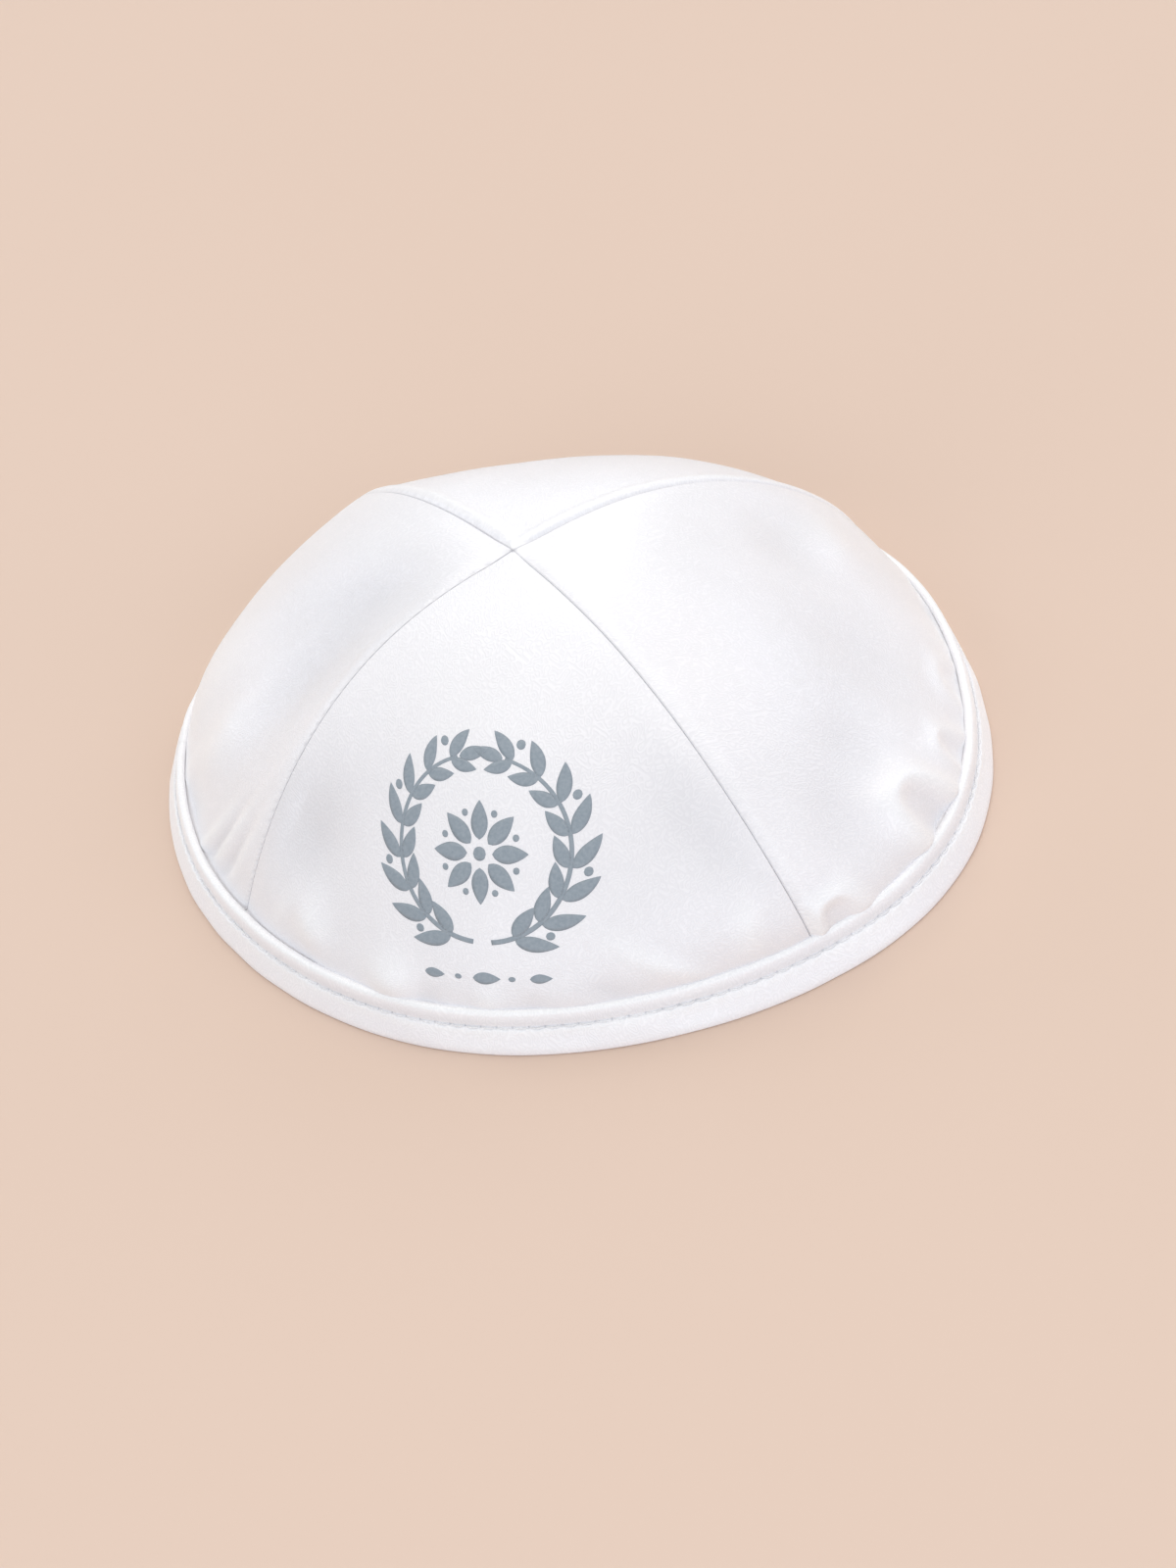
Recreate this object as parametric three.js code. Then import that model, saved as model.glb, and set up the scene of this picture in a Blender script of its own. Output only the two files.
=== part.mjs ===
// Satin kippah skullcap: four sewn gores and a folded binding round the rim.
// Millimetres, +Z up. The binding's underside lies on z = 0 and the front gore faces -Y.
import * as THREE from 'three';

const DEGREE = Math.PI / 180;
const QUARTER_TURN = Math.PI / 2;

// Driving dimensions
const CROWN_RADIUS = 80.4; // mean radius in plan where the gores go into the binding
const CROWN_HEIGHT = 53.6; // apex above the surface that the cap rests on
const RIM_HEIGHT = 7.0; // height of the line where the gores go into the binding
const BINDING_FLARE = 4.7; // how far the binding's lower edge stands out from that line
const GORE_LENGTH = 98; // over the curve, from that line to the apex
const CLOTH = 1.2; // a gore's wall: satin on its backing
const BINDING_LAYER = 1.0; // one layer of the folded binding
const GAP = 0.3; // clearance between two pieces
const FOOT = 5.0; // how far a gore's foot reaches down inside the binding
const TIP_RADIUS = 0.6; // where a gore stops short of the apex

// The crown's curves. A meridian is r = cos(f)^(2 / SIDE_ROUNDING), z = sin(f)^TOP_ROUNDING.
const SIDE_ROUNDING = 2.477;
const TOP_ROUNDING = 1.5;
// A level section is round at flatness 0, and square with its corners on the seams at flatness 1.
const FLATNESS = { rim: -0.017, apex: 0.532 };

// The rim isn't a true circle: each row adds a wave with so many lobes, as a share of the radius.
const RIM_WAVES = [
  { lobes: 2, cosine: 0.038, sine: -0.051 },
  { lobes: 3, cosine: -0.016, sine: 0.009 },
  { lobes: 4, cosine: -0.006, sine: -0.019 },
  { lobes: 6, cosine: -0.005, sine: -0.001 },
];
// The flare varies round the rim too, in millimetres.
const FLARE_WAVES = [
  { lobes: 1, cosine: -0.6, sine: -1.5 },
  { lobes: 2, cosine: 0.88, sine: -0.53 },
];
// The gores swell over the rim before they curve in, as a share of the radius, more on some sides.
const SWELL = 0.025;
const SWELL_LAG = 0.7; // under 1 puts the fullest part below the middle of the meridian
const SWELL_WAVES = [
  { lobes: 1, cosine: 0.004, sine: 0.02 },
  { lobes: 2, cosine: -0.024, sine: -0.022 },
];
// Where the middle of the rim lies from the middle of the cap's bounding box
const MIDDLE = { x: 1.78, y: 2.27 };

// Each seam's azimuth at the rim, and how far it bows sideways at mid height, in degrees.
const SEAMS = {
  front_left: { azimuth: -138.1, bow: 1.8 },
  front_right: { azimuth: -45.9, bow: -1.1 },
  back_right: { azimuth: 45.4, bow: -1.9 },
  back_left: { azimuth: 137.2, bow: -0.1 },
};

const PANELS = [
  { name: 'crown_panel_front', from: SEAMS.front_left, to: SEAMS.front_right },
  { name: 'crown_panel_right', from: SEAMS.front_right, to: SEAMS.back_right },
  { name: 'crown_panel_back', from: SEAMS.back_right, to: SEAMS.back_left },
  { name: 'crown_panel_left', from: SEAMS.back_left, to: SEAMS.front_left },
];

// The cloth's main hollows and soft folds. across and up are shares of the gore's width and length,
// wide and tall are half sizes in millimetres, turn is in degrees, and rise is outwards.
const DENTS = [
  { panel: 'crown_panel_front', across: 0.15, up: 0.38, wide: 14, tall: 22, turn: 0, rise: -0.9 },
  { panel: 'crown_panel_front', across: 0.88, up: 0.36, wide: 12, tall: 18, turn: 0, rise: -0.8 },
  { panel: 'crown_panel_front', across: 0.86, up: 0.17, wide: 15, tall: 7, turn: 20, rise: 0.9 },
  { panel: 'crown_panel_front', across: 0.28, up: 0.16, wide: 9, tall: 9, turn: 0, rise: 0.8 },
  { panel: 'crown_panel_right', across: 0.24, up: 0.18, wide: 11, tall: 7, turn: -25, rise: 1.1 },
  { panel: 'crown_panel_right', across: 0.33, up: 0.12, wide: 7, tall: 9, turn: 0, rise: 0.9 },
  { panel: 'crown_panel_right', across: 0.81, up: 0.53, wide: 12, tall: 9, turn: 0, rise: -1.3 },
  { panel: 'crown_panel_right', across: 0.82, up: 0.38, wide: 11, tall: 8, turn: 0, rise: 0.9 },
  { panel: 'crown_panel_left', across: 0.8, up: 0.2, wide: 7, tall: 16, turn: 0, rise: 0.8 },
  { panel: 'crown_panel_left', across: 0.35, up: 0.3, wide: 13, tall: 15, turn: 0, rise: -0.5 },
  { panel: 'crown_panel_back', across: 0.3, up: 0.22, wide: 12, tall: 10, turn: 15, rise: 0.8 },
  { panel: 'crown_panel_back', across: 0.68, up: 0.35, wide: 14, tall: 14, turn: 0, rise: -0.8 },
];
const DENT_FADE = 6; // the dents die out over this distance from a seam and from the rim

// The mesh's fineness
const COLUMNS = 18; // across each gore, and along the binding beside it
const ROWS = 14; // up each gore
const FOOT_STEPS = [1.0, 0.6, 0.2]; // rows of a gore's foot, as shares of FOOT

// The binding's section. out is measured from the gore's outer face, along is down the binding from
// its upper edge, and lift is the height above the underside, for the points that are set by it.
const FACE = GAP + BINDING_LAYER;
const SLOT_BACK = -(CLOTH + GAP);
const INSIDE = SLOT_BACK - BINDING_LAYER;
const BINDING_SECTION = [
  { place: 'underside, inner edge', out: INSIDE + 0.6, lift: 0 },
  { place: 'underside, middle', out: -0.6, lift: 0 },
  { place: 'underside, outer edge', out: FACE - 0.55, lift: 0 },
  { place: 'lower fold', out: FACE - 0.15, lift: 0.25 },
  { place: 'foot of the band', out: FACE, lift: 0.9 },
  { place: 'band', out: FACE + 0.05, along: 5.5 },
  { place: 'top of the band', out: FACE + 0.1, along: 3.5 },
  { place: 'stitched groove', out: FACE - 0.2, along: 2.85 },
  { place: 'roll, lower side', out: FACE + 0.2, along: 2.4 },
  { place: 'roll, crest', out: FACE + 0.5, along: 1.7 },
  { place: 'roll, crest', out: FACE + 0.5, along: 0.95 },
  { place: 'roll, upper side', out: FACE + 0.1, along: 0.3 },
  { place: 'roll, against the gore', out: FACE - 0.5, along: 0.1 },
  { place: 'slot, outer lip', out: GAP, along: 0.6 },
  { place: 'slot, foot', out: GAP, along: FOOT + GAP },
  { place: 'slot, foot', out: SLOT_BACK, along: FOOT + GAP },
  { place: 'slot, inner lip', out: SLOT_BACK, along: 0.4 },
  { place: 'inner edge', out: SLOT_BACK - 0.4, along: 0 },
  { place: 'inner edge', out: INSIDE + 0.1, along: 0.2 },
  { place: 'inner layer', out: INSIDE, along: 1.0 },
  { place: 'inner layer, foot', out: INSIDE, lift: 0.9 },
  { place: 'lower fold, inside', out: INSIDE + 0.15, lift: 0.25 },
];

function waves(rows, azimuth) {
  let sum = 0;
  for (const row of rows) {
    sum += row.cosine * Math.cos(row.lobes * azimuth);
    sum += row.sine * Math.sin(row.lobes * azimuth);
  }
  return sum;
}

function smoothStep(x) {
  const t = Math.min(Math.max(x, 0), 1);
  return t * t * (3 - 2 * t);
}

function seamAzimuth(seam, up) {
  return (seam.azimuth + seam.bow * Math.sin(Math.PI * up)) * DEGREE;
}

// A gore's span at one height: the azimuth where it starts and the angle to where it ends.
function panelSpan(panel, up) {
  const start = seamAzimuth(panel.from, up);
  let angle = seamAzimuth(panel.to, up) - start;
  if (angle < 0) {
    angle += 2 * Math.PI;
  }
  return { start, angle };
}

// The crown's outer face before its dents: across 0 to 1 between the seams, up 0 at the rim, 1 at the apex.
function crownFace(panel, across, up) {
  const { start, angle } = panelSpan(panel, up);
  const azimuth = start + angle * across;
  const f = up * QUARTER_TURN;
  const reach = Math.cos(f) ** (2 / SIDE_ROUNDING);
  const climb = Math.sin(f) ** TOP_ROUNDING;
  const swell = (SWELL + waves(SWELL_WAVES, azimuth)) * Math.sin(Math.PI * up ** SWELL_LAG);
  const flatness = FLATNESS.rim + (FLATNESS.apex - FLATNESS.rim) * climb;
  const chord = Math.cos(QUARTER_TURN / 2) / Math.cos(QUARTER_TURN * (across - 0.5));
  const level = (1 + waves(RIM_WAVES, azimuth)) * (1 - flatness * (1 - chord));
  const radius = CROWN_RADIUS * level * (reach + swell);
  return { azimuth, radius, height: RIM_HEIGHT + (CROWN_HEIGHT - RIM_HEIGHT) * climb };
}

// How far the cloth stands out of the plain face, or in, at one place on a gore.
function dentRise(panel, across, up, width) {
  let rise = 0;
  for (const dent of DENTS) {
    if (dent.panel !== panel.name) {
      continue;
    }
    const x = (across - dent.across) * width;
    const y = (up - dent.up) * GORE_LENGTH;
    const cos = Math.cos(dent.turn * DEGREE);
    const sin = Math.sin(dent.turn * DEGREE);
    const wide = (x * cos + y * sin) / dent.wide;
    const tall = (y * cos - x * sin) / dent.tall;
    rise += dent.rise * Math.exp(-(wide * wide) - tall * tall);
  }
  const fromSeam = Math.min(across, 1 - across) * width;
  const fromRim = up * GORE_LENGTH;
  return rise * smoothStep(fromSeam / DENT_FADE) * smoothStep(fromRim / DENT_FADE);
}

// The binding leans out from the rim line, so that its lower outer edge reaches the flare.
function bindingLean(azimuth) {
  const flare = BINDING_FLARE + waves(FLARE_WAVES, azimuth);
  const reach = Math.hypot(flare, RIM_HEIGHT);
  const lean = Math.atan2(flare, RIM_HEIGHT) - Math.asin(FACE / reach);
  return { cos: Math.cos(lean), sin: Math.sin(lean) };
}

// A place on the binding as radius and height, out from the gore's face and along the binding.
function bindingPlace(rim, out, along) {
  const lean = bindingLean(rim.azimuth);
  const radius = rim.radius + along * lean.sin + out * lean.cos;
  const height = RIM_HEIGHT - along * lean.cos + out * lean.sin;
  return { azimuth: rim.azimuth, radius, height };
}

function toVector(place) {
  const x = MIDDLE.x + place.radius * Math.cos(place.azimuth);
  const y = MIDDLE.y + place.radius * Math.sin(place.azimuth);
  return new THREE.Vector3(x, y, place.height);
}

// One column of a gore's outer face, from its foot in the binding to its tip.
function goreColumn(panel, column) {
  const tip = Math.acos((TIP_RADIUS / CROWN_RADIUS) ** (SIDE_ROUNDING / 2)) / QUARTER_TURN;
  const places = [];
  for (let row = 0; row <= ROWS; row += 1) {
    const up = (tip * row) / ROWS;
    const middle = crownFace(panel, 0.5, up);
    const width = middle.radius * panelSpan(panel, up).angle;
    const inset = GAP / 2 / width;
    const across = inset + (1 - 2 * inset) * (column / COLUMNS);
    places.push({ ...crownFace(panel, across, up), rise: dentRise(panel, across, up, width) });
  }
  const rim = places[0];
  const foot = FOOT_STEPS.map((share) => ({ ...bindingPlace(rim, 0, share * FOOT), rise: 0 }));
  return [...foot, ...places];
}

// Moves each place of a column out along the meridian's normal, and gives the wall's inner face too.
function goreWall(column) {
  const outer = [];
  const inner = [];
  column.forEach((place, i) => {
    const below = column[Math.max(i - 1, 0)];
    const above = column[Math.min(i + 1, column.length - 1)];
    const rise = above.height - below.height;
    const run = below.radius - above.radius;
    const length = Math.hypot(rise, run);
    const shift = (distance) => toVector({
      azimuth: place.azimuth,
      radius: place.radius + (distance * rise) / length,
      height: place.height + (distance * run) / length,
    });
    outer.push(shift(place.rise));
    inner.push(shift(place.rise - CLOTH));
  });
  return { outer, inner };
}

function meshFrom(name, vertices, triangles, material) {
  const geometry = new THREE.BufferGeometry().setFromPoints(vertices);
  geometry.setIndex(triangles.flat());
  geometry.computeVertexNormals();
  const mesh = new THREE.Mesh(geometry, material);
  mesh.name = name;
  return mesh;
}

// A gore is one closed wall: outer face, inner face, and the edge between them all round.
function crownPanel(panel) {
  const walls = [];
  for (let column = 0; column <= COLUMNS; column += 1) {
    walls.push(goreWall(goreColumn(panel, column)));
  }
  const rows = walls[0].outer.length;
  const vertices = [...walls.flatMap((wall) => wall.outer), ...walls.flatMap((wall) => wall.inner)];
  const back = walls.length * rows;
  const at = (column, row) => column * rows + row;
  const triangles = [];
  for (let column = 0; column < COLUMNS; column += 1) {
    for (let row = 0; row < rows - 1; row += 1) {
      const a = at(column, row);
      const b = at(column + 1, row);
      const c = at(column + 1, row + 1);
      const d = at(column, row + 1);
      triangles.push([a, b, c], [a, c, d]);
      triangles.push([back + a, back + c, back + b], [back + a, back + d, back + c]);
    }
  }
  const edge = [];
  for (let column = 0; column < COLUMNS; column += 1) {
    edge.push(at(column, 0));
  }
  for (let row = 0; row < rows - 1; row += 1) {
    edge.push(at(COLUMNS, row));
  }
  for (let column = COLUMNS; column > 0; column -= 1) {
    edge.push(at(column, rows - 1));
  }
  for (let row = rows - 1; row > 0; row -= 1) {
    edge.push(at(0, row));
  }
  edge.forEach((p, i) => {
    const q = edge[(i + 1) % edge.length];
    triangles.push([q, p, back + p], [q, back + p, back + q]);
  });
  const satin = new THREE.MeshStandardMaterial({ color: 0xf3f3f5, roughness: 0.42, metalness: 0 });
  return meshFrom(panel.name, vertices, triangles, satin);
}

// The binding's section at one azimuth, with the points given by their lift worked out along the lean.
function bindingSection(rim) {
  const lean = bindingLean(rim.azimuth);
  return BINDING_SECTION.map((point) => {
    const along = point.along ?? (RIM_HEIGHT - point.lift + point.out * lean.sin) / lean.cos;
    return toVector(bindingPlace(rim, point.out, along));
  });
}

// The binding is one closed ring, swept round the rim line.
function rimBinding() {
  const sections = [];
  for (const panel of PANELS) {
    for (let column = 0; column < COLUMNS; column += 1) {
      sections.push(bindingSection(crownFace(panel, column / COLUMNS, 0)));
    }
  }
  const points = BINDING_SECTION.length;
  const triangles = [];
  for (let i = 0; i < sections.length; i += 1) {
    const here = i * points;
    const next = ((i + 1) % sections.length) * points;
    for (let j = 0; j < points; j += 1) {
      const k = (j + 1) % points;
      triangles.push([here + j, next + j, next + k], [here + j, next + k, here + k]);
    }
  }
  const satin = new THREE.MeshStandardMaterial({ color: 0xf6f6f7, roughness: 0.38, metalness: 0 });
  return meshFrom('rim_binding', sections.flat(), triangles, satin);
}

const kippah = new THREE.Group();
kippah.add(...PANELS.map(crownPanel), rimBinding());

export default kippah;
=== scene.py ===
"""Satin kippah skullcap: four gores, a folded binding, its topstitch and a printed ornament.

Blender works in metres. The sizes here are millimetres and are turned to metres as each mesh is made.
"""

import math

import bpy
import numpy as np
from mathutils import Matrix, Vector

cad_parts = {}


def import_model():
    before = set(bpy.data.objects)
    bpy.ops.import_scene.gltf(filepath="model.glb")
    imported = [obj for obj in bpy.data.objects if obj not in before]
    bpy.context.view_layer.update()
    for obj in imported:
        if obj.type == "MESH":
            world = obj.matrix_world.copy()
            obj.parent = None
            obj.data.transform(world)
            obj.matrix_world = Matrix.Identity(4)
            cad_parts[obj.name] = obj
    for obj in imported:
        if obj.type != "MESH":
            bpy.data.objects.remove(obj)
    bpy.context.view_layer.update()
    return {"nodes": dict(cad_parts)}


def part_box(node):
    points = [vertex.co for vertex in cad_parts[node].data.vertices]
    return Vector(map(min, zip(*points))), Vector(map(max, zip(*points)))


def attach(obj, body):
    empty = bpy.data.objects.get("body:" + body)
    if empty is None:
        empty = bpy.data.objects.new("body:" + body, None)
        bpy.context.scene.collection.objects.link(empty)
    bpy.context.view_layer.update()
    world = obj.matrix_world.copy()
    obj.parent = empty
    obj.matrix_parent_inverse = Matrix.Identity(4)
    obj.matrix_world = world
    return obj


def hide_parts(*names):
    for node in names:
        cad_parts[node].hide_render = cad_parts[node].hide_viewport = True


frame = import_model()

MM = 0.001
QUARTER_TURN = math.pi / 2
TINY = 1e-9  # keeps a division or a power off zero

# Driving dimensions, the same as the frame's
CROWN_RADIUS = 80.4  # mean radius in plan where the gores go into the binding
CROWN_HEIGHT = max(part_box(node)[1].z for node in frame["nodes"]) / MM
RIM_HEIGHT = 7.0  # height of the line where the gores go into the binding
BINDING_FLARE = 4.7  # how far the binding's lower edge stands out from that line
GORE_LENGTH = 98.0  # over the curve, from that line to the apex
CLOTH = 1.2  # a gore's wall
BINDING_LAYER = 1.0
GAP = 0.3  # between a gore's foot and the binding's slot
FOOT = 5.0  # how far a gore's foot reaches down inside the binding
# The binding's faces, out from the gore's own face
FACE = GAP + BINDING_LAYER
SLOT_BACK = -(CLOTH + GAP)
INSIDE = SLOT_BACK - BINDING_LAYER

# The crown's curves. A meridian is r = cos(f)^(2 / SIDE_ROUNDING), z = sin(f)^TOP_ROUNDING.
SIDE_ROUNDING = 2.477
TOP_ROUNDING = 1.5
# A level section is round at flatness 0, and square with its corners on the seams at flatness 1
FLATNESS_RIM = -0.017
FLATNESS_APEX = 0.532

# Lobes, cosine and sine of each wave round the rim, as shares of the radius
RIM_WAVES = [(2, 0.038, -0.051), (3, -0.016, 0.009), (4, -0.006, -0.019), (6, -0.005, -0.001)]
# The same for the binding's flare, in millimetres
FLARE_WAVES = [(1, -0.6, -1.5), (2, 0.88, -0.53)]
# The gores swell over the rim before they curve in, as a share of the radius, more on some sides
SWELL = 0.025
SWELL_LAG = 0.7  # under 1 puts the fullest part below the middle of the meridian
SWELL_WAVES = [(1, 0.004, 0.02), (2, -0.024, -0.022)]
# Where the middle of the rim lies from the middle of the cap's bounding box
MIDDLE = (1.78, 2.27)

# Azimuth at the rim and sideways bow at mid height, in degrees, and the open crease between the gores
SEAMS = {
    "front_left": (-138.1, 1.8, 0.07),
    "front_right": (-45.9, -1.1, 0.06),
    "back_right": (45.4, -1.9, 0.06),
    "back_left": (137.2, -0.1, 0.07),
}

# Each gore runs from one seam to the next. At a seam one gore keeps a crisp folded edge, and the other is
# drawn in beside it: round is how far its own edge is rolled, sunk how deep it goes down, ridge how far
# the turned allowance lifts it beside that, and ticks how deep the stitching puckers it, once a pitch.
# dark is how much shade is painted into the satin's colour in the crease and under its stitches.
CRISP = {"round": 1.0, "sunk": 0.0, "ridge": 0.0, "ticks": 0.0, "pitch": 2.2, "dark": 0.0}
GORES = {
    "front": {
        "node": "crown_panel_front", "from": "front_left", "to": "front_right", "seed": 11,
        "start": CRISP,
        "end": CRISP,
    },
    "right": {
        "node": "crown_panel_right", "from": "front_right", "to": "back_right", "seed": 23,
        "start": {"round": 0.5, "sunk": 0.1, "ridge": 0.22, "ticks": 0.03, "pitch": 2.4, "dark": 0.3},
        "end": CRISP,
    },
    "back": {
        "node": "crown_panel_back", "from": "back_right", "to": "back_left", "seed": 37,
        "start": {"round": 0.3, "sunk": 0.6, "ridge": 0.5, "ticks": 0.07, "pitch": 0.8, "dark": 0.5},
        "end": {"round": 0.3, "sunk": 0.4, "ridge": 0.5, "ticks": 0.05, "pitch": 2.1, "dark": 0.6},
    },
    "left": {
        "node": "crown_panel_left", "from": "back_left", "to": "front_left", "seed": 53,
        "start": CRISP,
        "end": {"round": 0.2, "sunk": 0.25, "ridge": 0.0, "ticks": 0.13, "pitch": 2.3, "dark": 0.9},
    },
}

# Hollows and folds. across and up are shares of the gore, wide and tall half sizes, turn is in degrees.
DENT_COLUMNS = ("gore", "across", "up", "wide", "tall", "turn", "rise")
DENTS = [
    ("front", 0.11, 0.37, 11, 13, 0, -1.7),
    ("front", 0.94, 0.4, 6, 15, 12, -1.3),
    ("front", 0.18, 0.17, 5, 8, 12, 1.5),
    ("front", 0.36, 0.11, 5, 8, 0, 1.5),
    ("front", 0.5, 0.62, 16, 18, 0, 0.5),
    ("right", 0.24, 0.37, 9, 8, 0, -1.0),
    ("right", 0.13, 0.3, 6, 9, 0, -0.8),
    ("right", 0.81, 0.53, 12, 9, 0, -1.0),
    ("right", 0.83, 0.42, 9, 7, 0, 1.0),
    ("right", 0.45, 0.4, 22, 17, 0, -1.5),
    ("right", 0.268, 0.09, 3.2, 9, 0, -0.6),
    ("right", 0.68, 0.84, 12, 7, 0, 0.7),
    ("left", 0.68, 0.08, 7, 12, 0, -0.9),
    ("left", 0.42, 0.26, 14, 18, 0, 1.3),
    ("left", 0.74, 0.62, 12, 20, 0, -2.2),
    ("left", 0.48, 0.62, 10, 14, 0, -1.2),
    ("left", 0.66, 0.3, 7, 14, 0, 1.3),
    ("left", 0.55, 0.78, 9, 9, 0, -1.0),
    ("back", 0.3, 0.22, 12, 10, 15, 0.8),
    ("back", 0.68, 0.35, 14, 14, 0, -0.8),
]
# Finer puckers, most of them where the satin is gathered into the binding
PUCKERS = [
    ("front", 0.1, 0.16, 2.4, 8, -10, 0.35),
    ("front", 0.43, 0.07, 2.6, 6, 0, -0.4),
    ("front", 0.53, 0.08, 2.6, 6, 0, 0.4),
    ("front", 0.6, 0.06, 2.6, 6, 0, -0.3),
    ("front", 0.72, 0.1, 4.0, 6, 30, -0.45),
    ("front", 0.8, 0.15, 3.0, 11, 38, 0.5),
    ("front", 0.93, 0.2, 2.6, 9, -12, 0.45),
    ("right", 0.66, 0.1, 2.8, 9, 0, 0.4),
    ("right", 0.75, 0.12, 2.6, 9, 0, -0.35),
    ("right", 0.87, 0.1, 2.6, 9, 0, 0.35),
    ("left", 0.81, 0.13, 2.1, 13, -14, 0.75),
    ("left", 0.845, 0.16, 1.8, 13, -14, -0.55),
    ("left", 0.875, 0.19, 2.1, 14, -13, 0.75),
    ("left", 0.91, 0.16, 1.8, 11, -12, -0.5),
    ("left", 0.945, 0.2, 2.0, 13, -10, 0.5),
    ("left", 0.6, 0.12, 2.8, 9, 0, 0.4),
    ("left", 0.3, 0.1, 2.8, 9, 0, 0.4),
    ("back", 0.2, 0.1, 2.8, 9, 0, 0.4),
    ("back", 0.46, 0.12, 2.8, 10, 0, 0.4),
    ("back", 0.74, 0.1, 2.6, 9, 0, 0.4),
]
# Buckles: arched ridges that stand on the binding. thick is the half thickness of the ridge.
ARCH_COLUMNS = ("gore", "across", "wide", "tall", "thick", "lean", "rise")
ARCHES = [
    ("right", 0.045, 5.2, 17, 2.6, 0.0, 1.2),
    ("right", 0.28, 6.8, 25, 3.1, -0.15, 1.7),
    ("right", 0.41, 4.6, 19, 2.3, -0.1, 0.9),
    ("right", 0.56, 6.5, 17, 3.0, 0.0, 0.6),
    ("left", 0.22, 8.0, 17, 3.0, 0.0, 0.8),
    ("back", 0.6, 8.0, 19, 3.0, 0.0, 0.8),
]
DENT_FADE = 6.0
PUCKER_FADE = 2.5
ARCH_FADE = 7.0
ARCH_SQUARE = 2.5  # 2 makes a buckle an ellipse, more makes its top blunter
FLATTEST = 1e-3
RIM_FADE = 2.5  # the satin lies plain where it goes into the binding
HOLLOW_FADE = 7.0

CRISP_RADIUS = 0.3  # of a folded edge at a seam
CRISP_DEPTH = 0.45
VALLEY = (0.3, 2.6)  # depth and width of the dip in which each seam lies
FOOT_DIP = (0.12, 1.5, 1.2)  # depth, place and reach of the dip just above the binding
CREASE_PAINTED_SHADE_WIDTH = 0.3  # of the painted shade line in a seam's crease
STITCH_PAINTED_SHADE = 0.35  # share of painted shade on a seam's stitches beside it
FOLD_FULL_PAINTED_LIGHT_AND_SHADE = (0.8, 2.1, 2.4)  # rise at which a pucker, a buckle and a broad hollow reach their full painted highlight on crests and painted shade in hollows
# painted shade in the hollows of folds
HOLLOW_PAINTED_SHADE = 0.24
# painted highlight on the lifted strip beside a seam
SEAM_RIDGE_PAINTED_HIGHLIGHT = 1.0
STITCH_REACH = 1.0  # how far a seam's stitches pull the cloth beside it
STITCH_STRENGTH = (0.75, 0.35, 9.0)  # mean, change and the length over which it changes
STITCH_WANDER = (0.5, 6.0)  # how many pitches the stitches drift, and over what length
STITCH_SLANT = 0.5
STITCH_SHARPNESS = 3
SUNK_WIDTH = 1.0  # how far from a seam the other side starts to go down
RIDGE_PLACE = 1.9  # distance of the lifted strip's crest from the seam
RIDGE_WIDTH = 1.3
SLIM = 9.0  # a gore narrower than this, near the apex, has flatter seams
TIP_UP = 0.9999  # share of the gore's height where its tip stops
BILLOW = (0.32, 24.0)  # height and size of the cloth's broad waves
RIPPLE = (0.05, 7.0)
GATHER = (0.16, 5.5, 7.0)  # height, spacing and reach of the gathers above the binding
GATHER_SLANT = 0.15
NOISE_GRID = 64  # cells each way before the noise repeats
NOISE_START = (32.0, 8.0)  # the cell at the cloth's own origin

STITCH_PITCH = 3.15
STITCH_LINE = 2.7  # distance of the topstitch down the binding
THREAD_RADIUS = 0.15
HOLE_SIZE = 0.28
HOLE_DEPTH = 0.16
BAND_EDGE = (0.1, 0.42, 1.4)  # how far the band's edge lies below the stitches, its scallop and its shape
BAND_STEP = (0.24, 0.22, 1.6)  # how high that edge stands, and how fast it rises and falls
BAND_DRAG = (0.03, 0.22, 1.1)  # depth, slant and reach of the creases that each stitch draws in the band
# painted shade in the stitch holes
HOLE_PAINTED_SHADE = 0.5
ROLL_PAINTED_SHADE = 0.14  # painted shade on the binding's roll where it leans in above the stitches
ROLL_PAINTED_SHADE_PLACE = 1.9
ROLL_PAINTED_SHADE_REACH = 0.75
ROLL_TOP_PAINTED_HIGHLIGHT = -0.1  # place of the painted highlight line along the roll's top
ROLL_TOP_PAINTED_HIGHLIGHT_REACH = 0.6
BAND_PAINTED_HIGHLIGHT_PLACE = 1.0  # below the stitches, where the painted highlight on the band's lifted edge is strongest
BAND_PAINTED_HIGHLIGHT_REACH = 0.9
# strength of the painted highlight on the band's lifted edge
BAND_PAINTED_HIGHLIGHT = 0.6


def waves(rows, azimuth):
    total = np.zeros_like(azimuth)
    for lobes, cosine, sine in rows:
        total = total + cosine * np.cos(lobes * azimuth) + sine * np.sin(lobes * azimuth)
    return total


def smooth_step(x):
    t = np.clip(x, 0.0, 1.0)
    return t * t * (3.0 - 2.0 * t)


def bell(x):
    return np.exp(-(x**2))


def soft_noise(x, y, cell, seed):
    """Smooth noise from -1 to 1 on a grid of random values, one every cell millimetres."""
    grid = np.random.default_rng(seed).uniform(-1.0, 1.0, (NOISE_GRID, NOISE_GRID))
    u = x / cell + NOISE_START[0]
    v = y / cell + NOISE_START[1]
    i = np.floor(u).astype(int)
    j = np.floor(v).astype(int)
    a = u - i
    b = v - j
    a = a * a * a * (a * (a * 6.0 - 15.0) + 10.0)
    b = b * b * b * (b * (b * 6.0 - 15.0) + 10.0)
    left, right = i % NOISE_GRID, (i + 1) % NOISE_GRID
    lower, upper = j % NOISE_GRID, (j + 1) % NOISE_GRID
    low = grid[left, lower] * (1 - a) + grid[right, lower] * a
    high = grid[left, upper] * (1 - a) + grid[right, upper] * a
    return low * (1 - b) + high * b


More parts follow.
